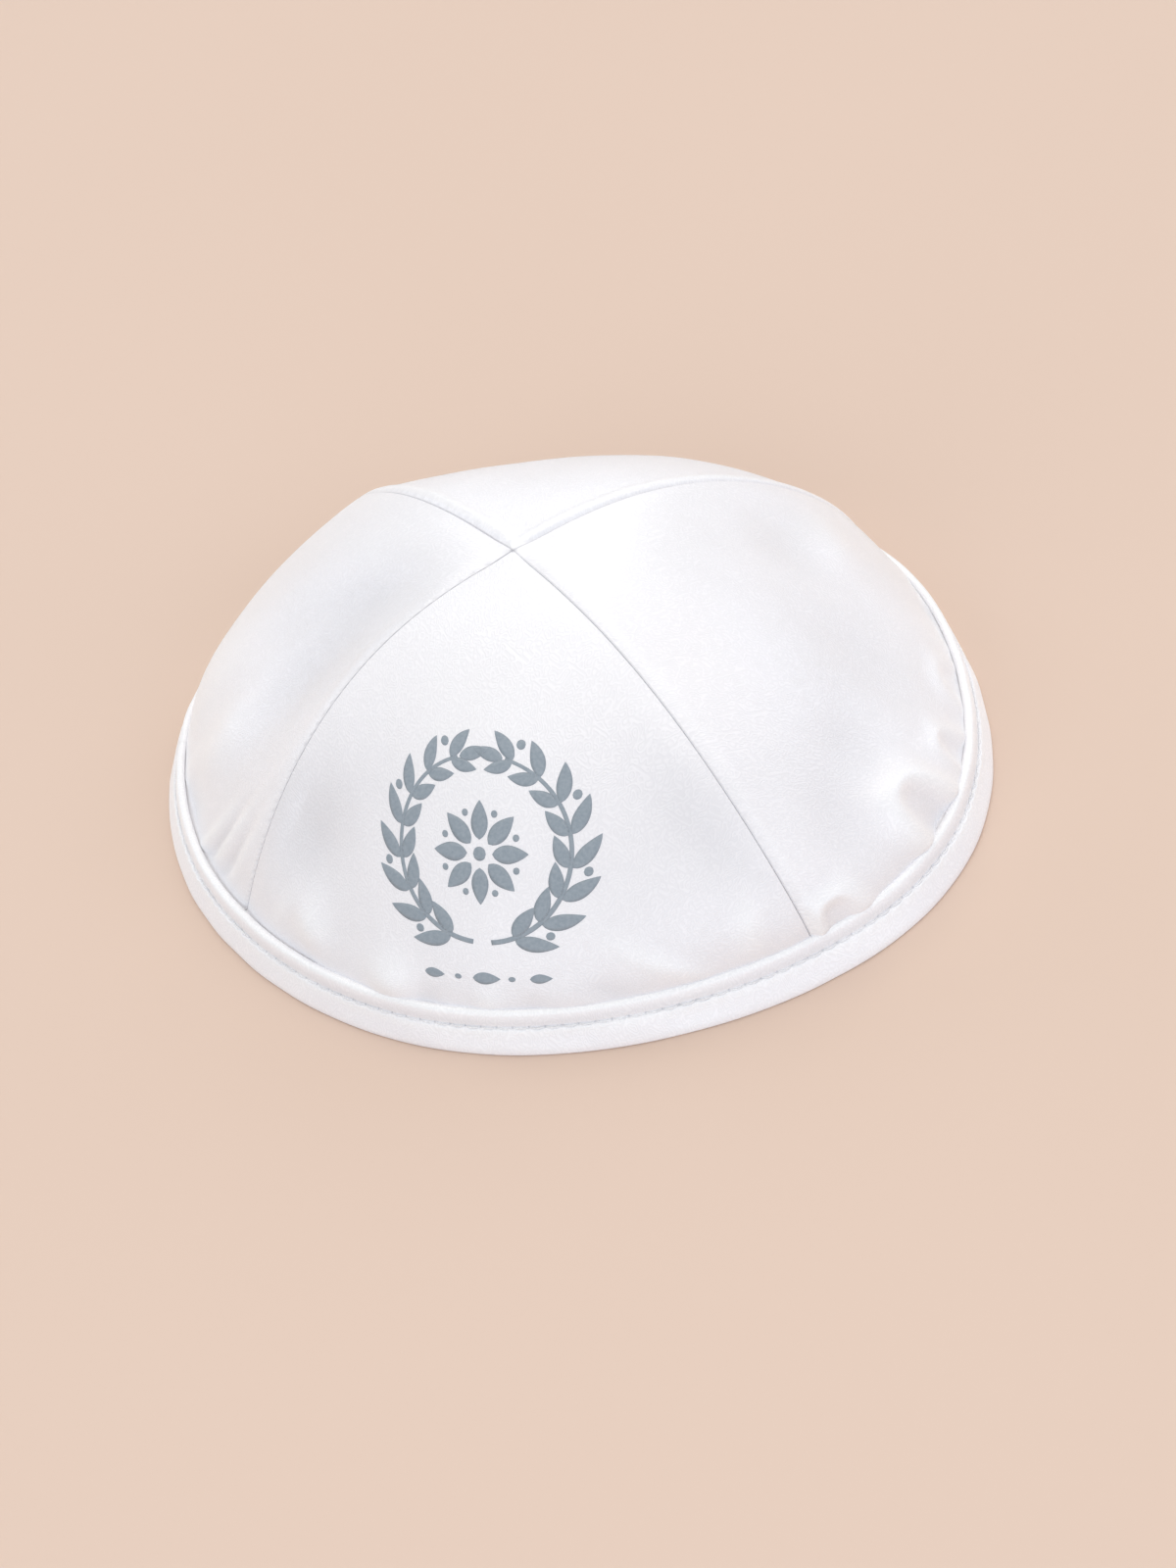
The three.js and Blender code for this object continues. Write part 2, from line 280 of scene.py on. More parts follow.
def gore_span(gore, up):
    """Azimuth where a gore starts at this height, and the angle to where it ends."""
    edges = []
    for seam in (gore["from"], gore["to"]):
        azimuth, bow, _ = SEAMS[seam]
        edges.append(np.radians(azimuth + bow * np.sin(math.pi * up)))
    angle = edges[1] - edges[0]
    return edges[0], np.where(angle < 0, angle + 2 * math.pi, angle)


def crown_face(gore, across, up):
    """Azimuth, radius and height of a gore's plain outer face."""
    start, angle = gore_span(gore, up)
    azimuth = start + angle * across
    f = np.clip(up, 0.0, 1.0) * QUARTER_TURN
    reach = np.maximum(np.cos(f), 0.0) ** (2 / SIDE_ROUNDING)
    climb = np.sin(f) ** TOP_ROUNDING
    swell = (SWELL + waves(SWELL_WAVES, azimuth)) * np.sin(math.pi * np.clip(up, 0.0, 1.0) ** SWELL_LAG)
    flatness = FLATNESS_RIM + (FLATNESS_APEX - FLATNESS_RIM) * climb
    chord = math.cos(QUARTER_TURN / 2) / np.cos(QUARTER_TURN * (across - 0.5))
    level = (1 + waves(RIM_WAVES, azimuth)) * (1 - flatness * (1 - chord))
    radius = CROWN_RADIUS * level * (reach + swell)
    return azimuth, radius, RIM_HEIGHT + (CROWN_HEIGHT - RIM_HEIGHT) * climb


def gore_width(gore, up):
    """Width of a gore over the curve at this height."""
    return crown_face(gore, np.full_like(up, 0.5), up)[1] * gore_span(gore, up)[1]


def mounds(rows, name, across, up, width):
    """The sum of a table's hollows and folds on one gore."""
    total = np.zeros_like(across)
    for row in rows:
        dent = dict(zip(DENT_COLUMNS, row))
        if dent["gore"] != name:
            continue
        x = (across - dent["across"]) * width
        y = (up - dent["up"]) * GORE_LENGTH
        cos = math.cos(math.radians(dent["turn"]))
        sin = math.sin(math.radians(dent["turn"]))
        level = ((x * cos + y * sin) / dent["wide"]) ** 2 + ((y * cos - x * sin) / dent["tall"]) ** 2
        total += dent["rise"] * np.exp(-level)
    return total


def arches(name, across, up, width):
    """The sum of one gore's buckles."""
    total = np.zeros_like(across)
    y = up * GORE_LENGTH
    for row in ARCHES:
        arch = dict(zip(ARCH_COLUMNS, row))
        if arch["gore"] != name:
            continue
        x = (across - arch["across"]) * width - arch["lean"] * y
        x_share = np.abs(x / arch["wide"])
        y_share = np.abs(y / arch["tall"])
        ring = (x_share**ARCH_SQUARE + y_share**ARCH_SQUARE + TINY) ** (1 / ARCH_SQUARE)
        steep = ARCH_SQUARE - 1
        x_slope = (x_share / ring) ** steep / arch["wide"]
        y_slope = (y_share / ring) ** steep / arch["tall"]
        slope = np.hypot(x_slope, y_slope)
        from_ridge = (ring - 1.0) / np.maximum(slope, FLATTEST)
        ridge = bell(from_ridge / arch["thick"])
        total += arch["rise"] * ridge * smooth_step(y / ARCH_FADE)
    return total


def seam_stitches(side, distance, along, seed):
    """The slanted pull of each stitch beside a seam: 1 in its middle, 0 between stitches."""
    mean, change, cell = STITCH_STRENGTH
    strength = mean + change * soft_noise(along, 0 * along, cell, seed)
    shift, cell = STITCH_WANDER
    wander = shift * soft_noise(along, 0 * along, cell, seed + 1)
    phase = 2 * math.pi * ((along + STITCH_SLANT * distance) / side["pitch"] + wander)
    bump = (0.5 + 0.5 * np.cos(phase)) ** STITCH_SHARPNESS
    return strength * bump * bell(distance / STITCH_REACH)


def seam_relief(side, distance, along, seed):
    """The folded edge or the drawn-in cloth beside one seam."""
    inside = np.clip(1.0 - distance / CRISP_RADIUS, 0.0, 1.0)
    edge = -CRISP_DEPTH * side["round"] * (1.0 - np.sqrt(1.0 - inside**2))
    edge -= VALLEY[0] * bell(distance / VALLEY[1])
    if side is CRISP:
        return edge
    ticks = -side["ticks"] * seam_stitches(side, distance, along, seed)
    sunk = -side["sunk"] * (1.0 - smooth_step(distance / SUNK_WIDTH))
    ridge = side["ridge"] * bell((distance - RIDGE_PLACE) / RIDGE_WIDTH)
    return edge + sunk + ridge + ticks


def seam_painted_shade(side, distance, along, seed):
    """How much shade is painted into the satin's colour in a seam's crease and under its stitches, from 0
    to 1.
    """
    painted_shade_mask = np.exp(-((distance / CREASE_PAINTED_SHADE_WIDTH) ** 4))
    return side["dark"] * np.maximum(painted_shade_mask, STITCH_PAINTED_SHADE * seam_stitches(side, distance, along, seed))


def fade_to_rim(total, y):
    """Relief that fades out towards the rim, hollows sooner than folds, so that no slot opens there."""
    return total * smooth_step(y / np.where(total < 0, HOLLOW_FADE, RIM_FADE))


def relief(name, across, up, fine=True):
    """How far the satin stands out of the plain face."""
    gore = GORES[name]
    width = gore_width(gore, up)
    x = (across - 0.5) * width
    y = up * GORE_LENGTH
    from_start = across * width
    from_end = (1 - across) * width
    from_seam = np.minimum(from_start, from_end)
    hold = smooth_step(from_seam / DENT_FADE)
    total = mounds(DENTS, name, across, up, width) * hold
    total += BILLOW[0] * soft_noise(x, y, BILLOW[1], gore["seed"]) * hold
    if not fine:
        return fade_to_rim(total, y)
    hold = smooth_step(from_seam / PUCKER_FADE)
    total += mounds(PUCKERS, name, across, up, width) * hold
    total += arches(name, across, up, width) * hold
    total += RIPPLE[0] * soft_noise(x, y, RIPPLE[1], gore["seed"] + 1) * hold
    height, spacing, reach = GATHER
    gathers = soft_noise(x + GATHER_SLANT * y, 0 * x, spacing, gore["seed"] + 2)
    total += height * gathers * bell(y / reach) * hold
    depth, place, reach = FOOT_DIP
    total -= depth * bell((y - place) / reach)
    seams = seam_relief(gore["start"], from_start, y, gore["seed"] + 3)
    seams += seam_relief(gore["end"], from_end, y, gore["seed"] + 5)
    return fade_to_rim(total, y) + seams * smooth_step(width / SLIM) * smooth_step(y / RIM_FADE)


def painted_light_and_shade(name, across, up):
    """Painted shade in creases and hollows, and painted highlight on the crests of folds and on the
    lifted strips beside seams, for each place on a gore.
    """
    gore = GORES[name]
    width = gore_width(gore, up)
    y = up * GORE_LENGTH
    painted_fold_light_and_shade = mounds(PUCKERS, name, across, up, width) / FOLD_FULL_PAINTED_LIGHT_AND_SHADE[0]
    painted_fold_light_and_shade += arches(name, across, up, width) / FOLD_FULL_PAINTED_LIGHT_AND_SHADE[1]
    painted_fold_light_and_shade += mounds(DENTS, name, across, up, width) / FOLD_FULL_PAINTED_LIGHT_AND_SHADE[2]
    for side, distance in ((gore["start"], across * width), (gore["end"], (1 - across) * width)):
        painted_fold_light_and_shade += SEAM_RIDGE_PAINTED_HIGHLIGHT * side["ridge"] * bell((distance - RIDGE_PLACE) / RIDGE_WIDTH)
    painted_shade = HOLLOW_PAINTED_SHADE * np.clip(-painted_fold_light_and_shade, 0.0, 1.0)
    painted_shade = np.maximum(painted_shade, seam_painted_shade(gore["start"], across * width, y, gore["seed"] + 3))
    painted_shade = np.maximum(painted_shade, seam_painted_shade(gore["end"], (1 - across) * width, y, gore["seed"] + 5))
    return painted_shade, np.clip(painted_fold_light_and_shade, 0.0, 1.0)


def to_points(azimuth, radius, height):
    x = MIDDLE[0] + radius * np.cos(azimuth)
    y = MIDDLE[1] + radius * np.sin(azimuth)
    return np.stack([x, y, height], axis=-1)


def crown_points(name, across, up, lift=0.0, fine=True):
    """Points on a gore, lifted off its relief along the meridian's normal."""
    gore = GORES[name]
    step = 0.002
    azimuth, radius, height = crown_face(gore, across, up)
    low = crown_face(gore, across, np.clip(up - step, 0, 1))
    high = crown_face(gore, across, np.clip(up + step, 0, 1))
    rise = high[2] - low[2]
    run = low[1] - high[1]
    length = np.hypot(rise, run)
    out = relief(name, across, up, fine) + lift
    return to_points(azimuth, radius + out * rise / length, height + out * run / length)


def binding_lean(azimuth):
    """Cosine and sine of how far the binding leans out at this azimuth."""
    flare = BINDING_FLARE + waves(FLARE_WAVES, azimuth)
    reach = np.hypot(flare, RIM_HEIGHT)
    lean = np.arctan2(flare, RIM_HEIGHT) - np.arcsin(FACE / reach)
    return np.cos(lean), np.sin(lean)


def binding_points(azimuth, radius, out, along):
    """Points on the binding, out from the gore's face and along down from its upper edge."""
    cos, sin = binding_lean(azimuth)
    return to_points(azimuth, radius + along * sin + out * cos, RIM_HEIGHT - along * cos + out * sin)


def rim_radius(azimuth):
    """Radius of the rim line at each azimuth."""
    radius = np.zeros_like(azimuth)
    for gore in GORES.values():
        start, angle = gore_span(gore, np.zeros(1))
        across = ((azimuth - start) % (2 * math.pi)) / angle
        here = across <= 1.0
        radius[here] = crown_face(gore, across[here], 0 * across[here])[1]
    return radius


def make_object(name, points, faces, material, smooth=True):
    """A mesh object from millimetre points and faces."""
    mesh = bpy.data.meshes.new(name)
    mesh.from_pydata((points * MM).tolist(), [], faces)
    mesh.update()
    mesh.polygons.foreach_set("use_smooth", [smooth] * len(mesh.polygons))
    mesh.materials.append(material)
    piece = bpy.data.objects.new(name, mesh)
    bpy.context.scene.collection.objects.link(piece)
    return piece


def set_cloth(piece, across_mm, along_mm, painted_shade, light):
    """Stores where each vertex lies on the flat cloth, its painted shade and its painted highlight."""
    values = np.zeros((len(across_mm), 3))
    values[:, 0] = across_mm * MM
    values[:, 1] = along_mm * MM
    attribute = piece.data.attributes.new("cloth", "FLOAT_VECTOR", "POINT")
    attribute.data.foreach_set("vector", values.ravel())
    # painted shade and painted highlight, kept for the satin's colour
    for tone_name, tone in (("painted_shade_mask", painted_shade), ("painted_highlight_mask", light)):
        attribute = piece.data.attributes.new(tone_name, "FLOAT", "POINT")
        attribute.data.foreach_set("value", np.clip(tone, 0.0, 1.0))


def closed_wall(columns, rows, skip=1):
    """Faces of a closed wall: a fine outer grid of points and an inner one with every skip-th."""
    def outer(column, row):
        return column * rows + row

    inner_columns = (columns - 1) // skip + 1
    inner_rows = (rows - 1) // skip + 1

    def inner(column, row):
        return columns * rows + column * inner_rows + row

    faces = []
    for i in range(columns - 1):
        for j in range(rows - 1):
            faces.append((outer(i, j), outer(i + 1, j), outer(i + 1, j + 1), outer(i, j + 1)))
    for i in range(inner_columns - 1):
        for j in range(inner_rows - 1):
            faces.append((inner(i, j), inner(i, j + 1), inner(i + 1, j + 1), inner(i + 1, j)))
    outer_edge = grid_edge(outer, columns, rows)
    inner_edge = grid_edge(inner, inner_columns, inner_rows)
    for n, start in enumerate(inner_edge):
        end = inner_edge[(n + 1) % len(inner_edge)]
        run = [outer_edge[(n * skip + m) % len(outer_edge)] for m in range(skip + 1)]
        faces.append((*reversed(run), start, end))
    return faces


def grid_edge(at, columns, rows):
    """The points round a grid's edge, in order."""
    edge = [at(i, 0) for i in range(columns - 1)]
    edge += [at(columns - 1, j) for j in range(rows - 1)]
    edge += [at(i, rows - 1) for i in range(columns - 1, 0, -1)]
    edge += [at(0, j) for j in range(rows - 1, 0, -1)]
    return edge


GORE_COLUMNS = 173
GORE_ROWS = 298  # with the foot's rows, one more than a multiple of INNER_SKIP
INNER_SKIP = 4
SEAM_CROWDING = 0.92  # 0 spaces the columns evenly, towards 1 crowds them at the seams
ROW_CROWDING = 0.45  # the same for the rows, towards the rim
MOST_INSET = 0.25  # share of a gore's width that an open crease may take near the apex
FOOT_SHARES = (1.0, 0.6, 0.25)


def gore_piece(name, material):
    """One gore of the crown: satin face, seams and inner face, down to its foot in the binding."""
    gore = GORES[name]
    k = np.linspace(0, 1, GORE_COLUMNS)
    crowded = k - SEAM_CROWDING * np.sin(2 * math.pi * k) / (2 * math.pi)
    j = np.linspace(0, 1, GORE_ROWS)
    up_row = TIP_UP * (j - ROW_CROWDING * (1 - j) * j * (1 - j))
    across, up = np.meshgrid(crowded, up_row, indexing="ij")
    width = gore_width(gore, up)
    inset_start = np.minimum(SEAMS[gore["from"]][2] / 2 / width, MOST_INSET)
    inset_end = np.minimum(SEAMS[gore["to"]][2] / 2 / width, MOST_INSET)
    across = inset_start + (1 - inset_start - inset_end) * across
    outer = crown_points(name, across, up)
    inner = crown_points(name, across, up, -CLOTH, fine=False)
    azimuth, radius, _ = crown_face(gore, across[:, 0], up[:, 0])
    foot_outer = []
    foot_inner = []
    for share in FOOT_SHARES:
        along = np.full_like(azimuth, share * FOOT)
        foot_outer.append(binding_points(azimuth, radius, 0 * along, along))
        foot_inner.append(binding_points(azimuth, radius, -CLOTH + 0 * along, along))
    outer = np.concatenate([np.stack(foot_outer, 1), outer], axis=1)
    inner = np.concatenate([np.stack(foot_inner, 1), inner], axis=1)[::INNER_SKIP, ::INNER_SKIP]
    columns, rows = outer.shape[:2]
    points = np.concatenate([outer.reshape(-1, 3), inner.reshape(-1, 3)])
    faces = closed_wall(columns, rows, INNER_SKIP)
    piece = make_object("satin_gore_" + name, points, faces, material)
    x = (across - 0.5) * width
    y = up * GORE_LENGTH
    x = np.concatenate([np.repeat(x[:, :1], len(FOOT_SHARES), axis=1), x], axis=1)
    foot_y = np.array([[-share * FOOT for share in FOOT_SHARES]]).repeat(columns, axis=0)
    y = np.concatenate([foot_y, y], axis=1)
    plain_foot = np.zeros((columns, len(FOOT_SHARES)))
    # painted shade and painted highlight of the gore; the foot inside the binding gets none
    painted_shade, light = (np.concatenate([plain_foot, tone], axis=1) for tone in painted_light_and_shade(name, across, up))
    grids = (x, y, painted_shade, light)
    set_cloth(piece, *(
        np.concatenate([grid.ravel(), grid[::INNER_SKIP, ::INNER_SKIP].ravel()]) for grid in grids
    ))
    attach(piece, "root")
    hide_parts(gore["node"])
    return piece


# The binding's section, closed, from the underside's inner edge outwards and round. lift is the height
# above the underside for the rows where along is None. steps is how finely the curve to the next row
# is cut.
SECTION_COLUMNS = ("out", "along", "lift", "steps")
SECTION = [
    (INSIDE + 0.9, None, 0.0, 1),
    (FACE - 1.1, None, 0.0, 2),
    (FACE - 0.45, None, 0.22, 3),
    (FACE - 0.14, None, 0.8, 3),
    (FACE + 0.04, None, 1.7, 4),
    (FACE + 0.1, 4.2, 0.0, 6),
    (FACE + 0.04, 3.2, 0.0, 5),
    (FACE - 0.1, 2.72, 0.0, 4),
    (FACE + 0.04, 2.4, 0.0, 3),
    (FACE + 0.2, 1.85, 0.0, 3),
    (FACE + 0.36, 1.1, 0.0, 3),
    (FACE + 0.47, 0.4, 0.0, 3),
    (FACE + 0.36, -0.2, 0.0, 3),
    (FACE - 0.02, -0.6, 0.0, 3),
    (FACE - 0.6, -0.75, 0.0, 2),
    (0.3, -0.65, 0.0, 2),
    (0.04, -0.3, 0.0, 2),
    (0.04, 0.5, 0.0, 2),
    (0.04, FOOT + GAP, 0.0, 1),
    (SLOT_BACK, FOOT + GAP, 0.0, 1),
    (SLOT_BACK, 0.4, 0.0, 2),
    (SLOT_BACK - 0.4, 0.0, 0.0, 2),
    (INSIDE + 0.1, 0.3, 0.0, 2),
    (INSIDE, 1.2, 0.0, 2),
    (INSIDE, None, 1.1, 2),
    (INSIDE + 0.3, None, 0.28, 2),
]
SECTION_ROWS = [dict(zip(SECTION_COLUMNS, row)) for row in SECTION]
OUTER_FACE = GAP + 0.2  # section rows farther out than this are on the face that shows


def binding_section(azimuth):
    """out and along of the section's curve at each azimuth: arrays of azimuths by section points."""
    cos, sin = binding_lean(azimuth)
    knots = []
    for row in SECTION_ROWS:
        if row["along"] is None:
            down = (RIM_HEIGHT - row["lift"] + row["out"] * sin) / cos
        else:
            down = np.full_like(azimuth, row["along"])
        knots.append(np.stack([np.full_like(azimuth, row["out"]), down], axis=-1))
    count = len(knots)
    curve = []
    for i, row in enumerate(SECTION_ROWS):
        before, here, after, beyond = (knots[(i + n) % count] for n in (-1, 0, 1, 2))
        for step in range(row["steps"]):
            t = step / row["steps"]
            # A Catmull-Rom curve through the four rows around this stretch
            curve.append(
                0.5 * (2 * here + (after - before) * t
                + (2 * before - 5 * here + 4 * after - beyond) * t**2
                + (3 * here - before - 3 * after + beyond) * t**3)
            )
    curve = np.stack(curve, axis=1)
    return curve[..., 0], curve[..., 1]


def rim_stations(count):
    """Azimuths evenly spaced along the rim, their distances along it, and its whole length."""
    azimuth = np.linspace(-math.pi, math.pi, RIM_SAMPLES + 1)
    line = to_points(azimuth, rim_radius(azimuth) + BINDING_FLARE / 2, 0 * azimuth)
    length = np.concatenate([[0.0], np.cumsum(np.linalg.norm(np.diff(line, axis=0), axis=1))])
    distance = np.arange(count) / count * length[-1]
    return np.interp(distance, length, azimuth), distance, length[-1]


def ring_noise(distance, length, waves_round, seed):
    """Smooth noise from about -1 to 1 that closes on itself round the rim."""
    random = np.random.default_rng(seed)
    total = np.zeros_like(distance)
    counts = range(max(1, waves_round // 2), waves_round + 1)
    for n in counts:
        height = random.normal()
        phase = random.uniform(0, 2 * math.pi)
        total += height * np.cos(2 * math.pi * n * distance / length + phase)
    return total / math.sqrt(len(counts))


def stitch_holes(distance, along, pitch):
    """1 in the middle of each stitch hole, and 0 away from it."""
    phase = distance / pitch
    near = (phase - np.round(phase)) * pitch
    return np.exp(-((near / HOLE_SIZE) ** 2) - ((along - STITCH_LINE) / HOLE_SIZE) ** 2)


def stitch_relief(distance, along, pitch):
    """The stitch holes, and the band's upper edge, which rises to a peak under each hole."""
    phase = distance / pitch
    hole = -HOLE_DEPTH * stitch_holes(distance, along, pitch)
    clear, swing, power = BAND_EDGE
    edge = STITCH_LINE + clear + swing * np.abs(np.sin(math.pi * phase)) ** power
    height, rise, fall = BAND_STEP
    step = height * smooth_step((along - edge) / rise) * np.exp(-np.maximum(along - edge, 0) / fall)
    depth, slant, reach = BAND_DRAG
    drag = (phase + slant * (along - STITCH_LINE)) * 2 * math.pi
    creases = -depth * np.cos(drag) * bell((along - STITCH_LINE - reach) / reach)
    return hole + step + creases


def rim_stitch_count():
    return round(rim_stations(8)[2] / STITCH_PITCH)


BINDING_STEPS_PER_STITCH = 8
RIM_SAMPLES = 4000
BAND_SWAY = (0.07, 40)  # how far the whole band sways in and out, and the most waves round the rim
BAND_WAVE = (0.09, 26)  # the same for its lower half alone
BAND_WAVE_PLACE = 5.0
BAND_WAVE_REACH = 2.0


def binding_piece(material):
    """The folded band round the rim, with its rolled upper edge and stitched groove."""
    stitches = rim_stitch_count()
    count = stitches * BINDING_STEPS_PER_STITCH
    azimuth, distance, length = rim_stations(count)
    pitch = length / stitches
    out, along = binding_section(azimuth)
    outward = np.array([row["out"] for row in SECTION_ROWS for _ in range(row["steps"])]) > OUTER_FACE
    far = distance[:, None] + 0 * along
    relieved = stitch_relief(far, along, pitch)
    sway = BAND_SWAY[0] * ring_noise(distance, length, BAND_SWAY[1], 5)[:, None]
    wave = BAND_WAVE[0] * ring_noise(distance, length, BAND_WAVE[1], 6)[:, None]
    wave = wave * bell((along - BAND_WAVE_PLACE) / BAND_WAVE_REACH)
    out = out + np.where(outward[None, :], relieved + sway + wave, 0.0)
    radius = rim_radius(azimuth)
    points = binding_points(azimuth[:, None] + 0 * out, radius[:, None] + 0 * out, out, along)
    points[..., 2] = np.maximum(points[..., 2], 0.0)
    ring = points.shape[1]
    faces = []
    for i in range(count):
        here = i * ring
        after = ((i + 1) % count) * ring
        for j in range(ring):
            k = (j + 1) % ring
            faces.append((here + j, after + j, after + k, here + k))
    piece = make_object("binding_band", points.reshape(-1, 3), faces, material)
    around = np.cumsum(np.concatenate([[0.0], np.linalg.norm(np.diff(points[0], axis=0), axis=1)]))
    # Painted shade in the holes and on the roll's underside, painted highlight along the roll's top and
    # the band's lifted edge
    holes = stitch_holes(far, along, pitch)
    roll_painted_shade = ROLL_PAINTED_SHADE * bell((along - ROLL_PAINTED_SHADE_PLACE) / ROLL_PAINTED_SHADE_REACH)
    painted_shade = np.maximum(HOLE_PAINTED_SHADE * holes, roll_painted_shade) * outward[None, :]
    top = bell((along - ROLL_TOP_PAINTED_HIGHLIGHT) / ROLL_TOP_PAINTED_HIGHLIGHT_REACH)
    band_painted_highlight = bell((along - STITCH_LINE - BAND_PAINTED_HIGHLIGHT_PLACE) / BAND_PAINTED_HIGHLIGHT_REACH)
    light = np.maximum(top, BAND_PAINTED_HIGHLIGHT * band_painted_highlight) * outward[None, :]
    set_cloth(piece, far.ravel(), np.tile(around, count), painted_shade.ravel(), light.ravel())
    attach(piece, "root")
    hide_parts("rim_binding")
    return piece


def tube(path, radius, sides, normal):
    """Points and faces of a closed tube along a path. radius may differ at each point."""
    points = []
    for i, centre in enumerate(path):
        ahead = path[min(i + 1, len(path) - 1)] - path[max(i - 1, 0)]
        ahead = ahead / np.linalg.norm(ahead)
        side = np.cross(ahead, normal)
        side = side / np.linalg.norm(side)
        lift = np.cross(ahead, side)
        for s in range(sides):
            turn = 2 * math.pi * s / sides
            points.append(centre + radius[i] * (math.cos(turn) * side + math.sin(turn) * lift))
    faces = []
    for i in range(len(path) - 1):
        for s in range(sides):
            t = (s + 1) % sides
            faces.append((i * sides + s, i * sides + t, (i + 1) * sides + t, (i + 1) * sides + s))
    faces.append(tuple(reversed(range(sides))))
    last = (len(path) - 1) * sides
    faces.append(tuple(last + s for s in range(sides)))
    return np.array(points), faces


def join_parts(parts):
    """One list of points and faces from many."""
    points = []
    faces = []
    start = 0
    for part_points, part_faces in parts:
        points.append(part_points)
        faces += [tuple(start + v for v in face) for face in part_faces]
        start += len(part_points)
    return np.concatenate(points), faces


THREAD_TAPER = (0.55, 0.85, 1.0, 1.0, 1.0, 1.0, 1.0, 0.85, 0.55)  # thickness along one stitch
THREAD_SPAN = 0.9  # share of the pitch that a stitch takes
THREAD_DIP = (-0.02, 0.26)  # place of a stitch's ends below the line, and how much lower its middle is
THREAD_STAND = (-0.3, 0.4)  # place of its ends out from the band's face, and how much its middle rises
THREAD_SIDES = 6


def rim_stitches(material):
    """The topstitch: a short slanted thread between each hole and the next."""
    stitches = rim_stitch_count()
    shares = np.linspace(-0.5, 0.5, len(THREAD_TAPER))
    azimuth_table, distance_table, length = rim_stations(RIM_SAMPLES)
    pitch = length / stitches
    thick = THREAD_RADIUS * np.array(THREAD_TAPER)
    parts = []
    for n in range(stitches):
        distance = (n + 0.5 + THREAD_SPAN * shares) * pitch
        azimuth = np.interp(distance, distance_table, azimuth_table)
        along = STITCH_LINE + THREAD_DIP[0] + THREAD_DIP[1] * (1 - (2 * shares) ** 2)
        out = FACE + THREAD_STAND[0] + THREAD_STAND[1] * (1 - (2 * shares) ** 6)
        path = binding_points(azimuth, rim_radius(azimuth), out, along)
        middle = azimuth[len(azimuth) // 2]
        normal = np.array([math.cos(middle), math.sin(middle), 0.4])
        parts.append(tube(path, thick, THREAD_SIDES, normal))
    points, faces = join_parts(parts)
    piece = make_object("rim_topstitch", points, faces, material)
    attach(piece, "root")
    return piece


# The printed ornament lies on the front gore. Its own coordinates are millimetres over the cloth, x to
# the viewer's right and y towards the apex, from its centre.
PRINT_ACROSS = 0.53
PRINT_UP = 0.435
PRINT_LIFT = 0.035
PRINT_DEPTH = 0.08
RIBBON_LANES = 5
WREATH_RADIUS = 17.0
WREATH_START = 6  # each branch's distance from the bottom of the wreath, in degrees
WREATH_SWEEP = 158
WREATH_LEAVES = 8
LEAF_SIZE = (8.6, 2.4)  # of the first pair of leaves, and how much smaller the last would be
# Turn from the stem, length, width and bend of each leaf in a pair, as shares of the size and in degrees
LEAF_PAIR = [(-42, 1.0, 0.4, 18), (40, 0.86, 0.36, -10)]
BERRY = (3.3, 0.85)  # distance from the stem and radius
ROSETTE_RADIUS = 8.8
ROSETTE_PETALS = 8
ROW_BELOW = -25.8  # of the lozenges under the wreath
LOZENGES = [(-10.5, 4.2), (0.0, 5.4), (10.5, 4.2)]  # place and size
DOTS = [(-5.3, 0.7), (5.3, 0.7)]  # place and radius


def ribbon(path, half_width):
    """A flat printed stroke: a grid of points along a path, with its half width at each point."""
    ahead = np.gradient(path, axis=0)
    ahead /= np.linalg.norm(ahead, axis=1)[:, None] + TINY
    side = np.stack([-ahead[:, 1], ahead[:, 0]], axis=1)
    lanes = np.linspace(-1, 1, RIBBON_LANES)
    return path[:, None, :] + lanes[None, :, None] * (side * half_width[:, None])[:, None, :]


def leaf(base, angle, length, width, bend=0.0):
    """A pointed leaf that starts at base and grows along angle, in degrees."""
    t = np.linspace(0, 1, 15)
    turn = np.radians(angle + bend * t)
    step = length / (len(t) - 1)
    path = np.array(base) + np.cumsum(np.stack([np.cos(turn), np.sin(turn)], 1) * step, axis=0)
    shape = np.sin(math.pi * t**0.8) ** 0.85
    return ribbon(path, width / 2 * shape + 0.02)


def disc(centre, radius):
    t = np.linspace(-1, 1, 13)
    path = np.array(centre) + np.stack([t * radius, 0 * t], axis=1)
    return ribbon(path, radius * np.sqrt(np.maximum(1 - t**2, 0)) + 0.01)


def branch(side, radius, start, sweep, leaves):
    """One branch of the wreath: a thin stem on an arc, with pairs of leaves and a few berries."""
    angles = np.radians(start + side * np.linspace(0, sweep, 60))
    path = radius * np.stack([np.cos(angles), np.sin(angles)], axis=1)
    taper = np.linspace(0.55, 0.3, 60)
    strokes = [ribbon(path, taper)]
    for n in range(leaves):
        share = (n + 0.7) / leaves
        at = math.radians(start + side * sweep * share)
        base = radius * np.array([math.cos(at), math.sin(at)])
        heading = math.degrees(at) + side * 90
        size = LEAF_SIZE[0] - LEAF_SIZE[1] * share
        for turn, length, width, bend in LEAF_PAIR:
            strokes.append(leaf(base, heading + side * turn, size * length, size * width, side * bend))
        if n % 2 == 1:
            out = 1.0 + BERRY[0] / radius
            strokes.append(disc(base * out, BERRY[1]))
    tip = radius * np.array([math.cos(angles[-1]), math.sin(angles[-1])])
    strokes.append(leaf(tip, math.degrees(angles[-1]) + side * 90, 6.0, 2.4))
    return strokes


